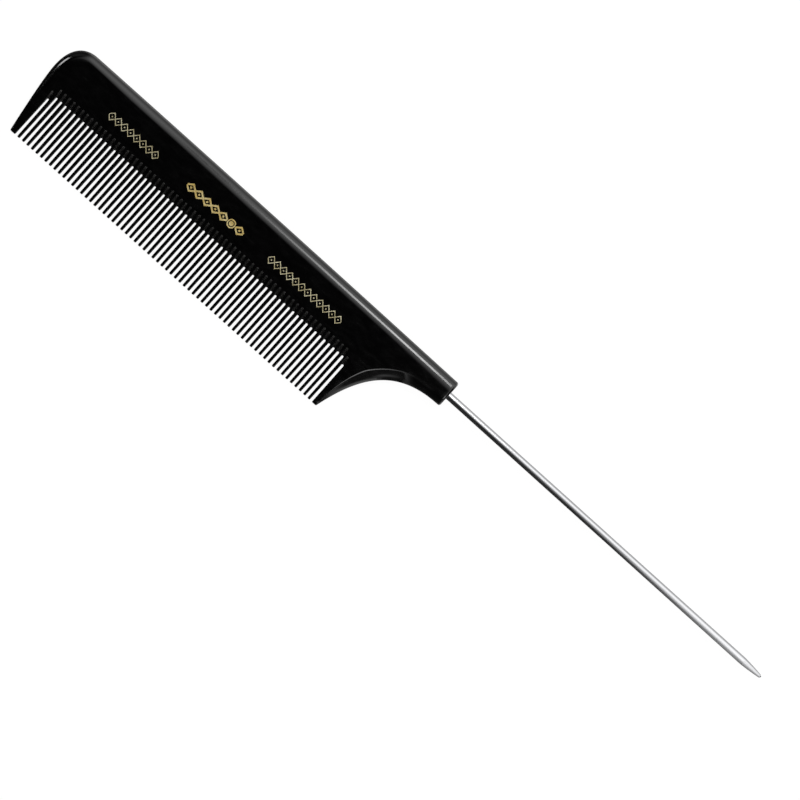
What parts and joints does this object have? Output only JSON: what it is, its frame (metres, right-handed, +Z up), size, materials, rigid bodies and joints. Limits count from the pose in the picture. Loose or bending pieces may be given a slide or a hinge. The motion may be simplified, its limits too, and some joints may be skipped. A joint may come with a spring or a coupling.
{
  "type": "rat tail comb",
  "caption": "Flat wedge-section parting comb with fine sawn teeth between end guards and a slim round steel pin tail with a tapered end.",
  "frame": {"origin": "middle of the box around the comb, on the plane the comb lies on", "axes": "+X along the comb from the toothed end to the tip of the pin, +Y from the tooth tips to the spine, +Z up out of the marked face"},
  "size_m": [0.216, 0.0258, 0.0044],
  "materials": {
    "hard_rubber": "gloss",
    "steel": "polished",
    "gilt": "satin"
  },
  "bodies": {
    "root": {"comb_body": "hard_rubber", "tail_pin": "steel", "gilt_mark_front": "gilt", "gilt_mark_centre": "gilt", "gilt_mark_rear": "gilt"}
  },
  "joints": []
}
